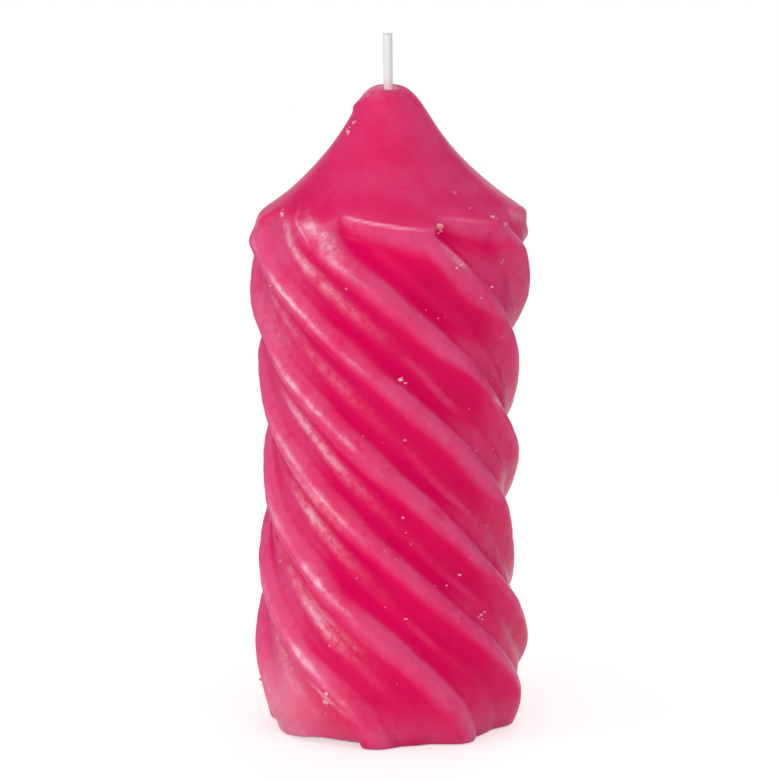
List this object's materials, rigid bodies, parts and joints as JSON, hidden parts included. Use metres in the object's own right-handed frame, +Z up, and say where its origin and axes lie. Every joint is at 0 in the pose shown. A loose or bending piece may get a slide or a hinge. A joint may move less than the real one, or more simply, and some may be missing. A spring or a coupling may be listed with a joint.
{
  "type": "twisted pillar candle",
  "caption": "Free-standing pink pillar candle with helical ridges, a waisted column, a pointed top and a short white wick.",
  "frame": {"origin": "middle of the flat base, on the surface that the candle stands on", "axes": "+Z up the wick; the picture's camera looks along +Y, with +X to its right"},
  "size_m": [0.0648, 0.0648, 0.162],
  "materials": {
    "wax": "satin dyed paraffin wax, translucent",
    "waxed_cotton": "white cotton braid under a thin coat of wax",
    "core_thread": "undyed cotton thread",
    "tinned_sheet": "tinned steel sheet, dull"
  },
  "bodies": {
    "root": {"wax_column": "wax", "base_pour": "wax", "wick_braid": "waxed_cotton", "wick_core": "core_thread", "wick_sustainer": "tinned_sheet"}
  },
  "joints": []
}
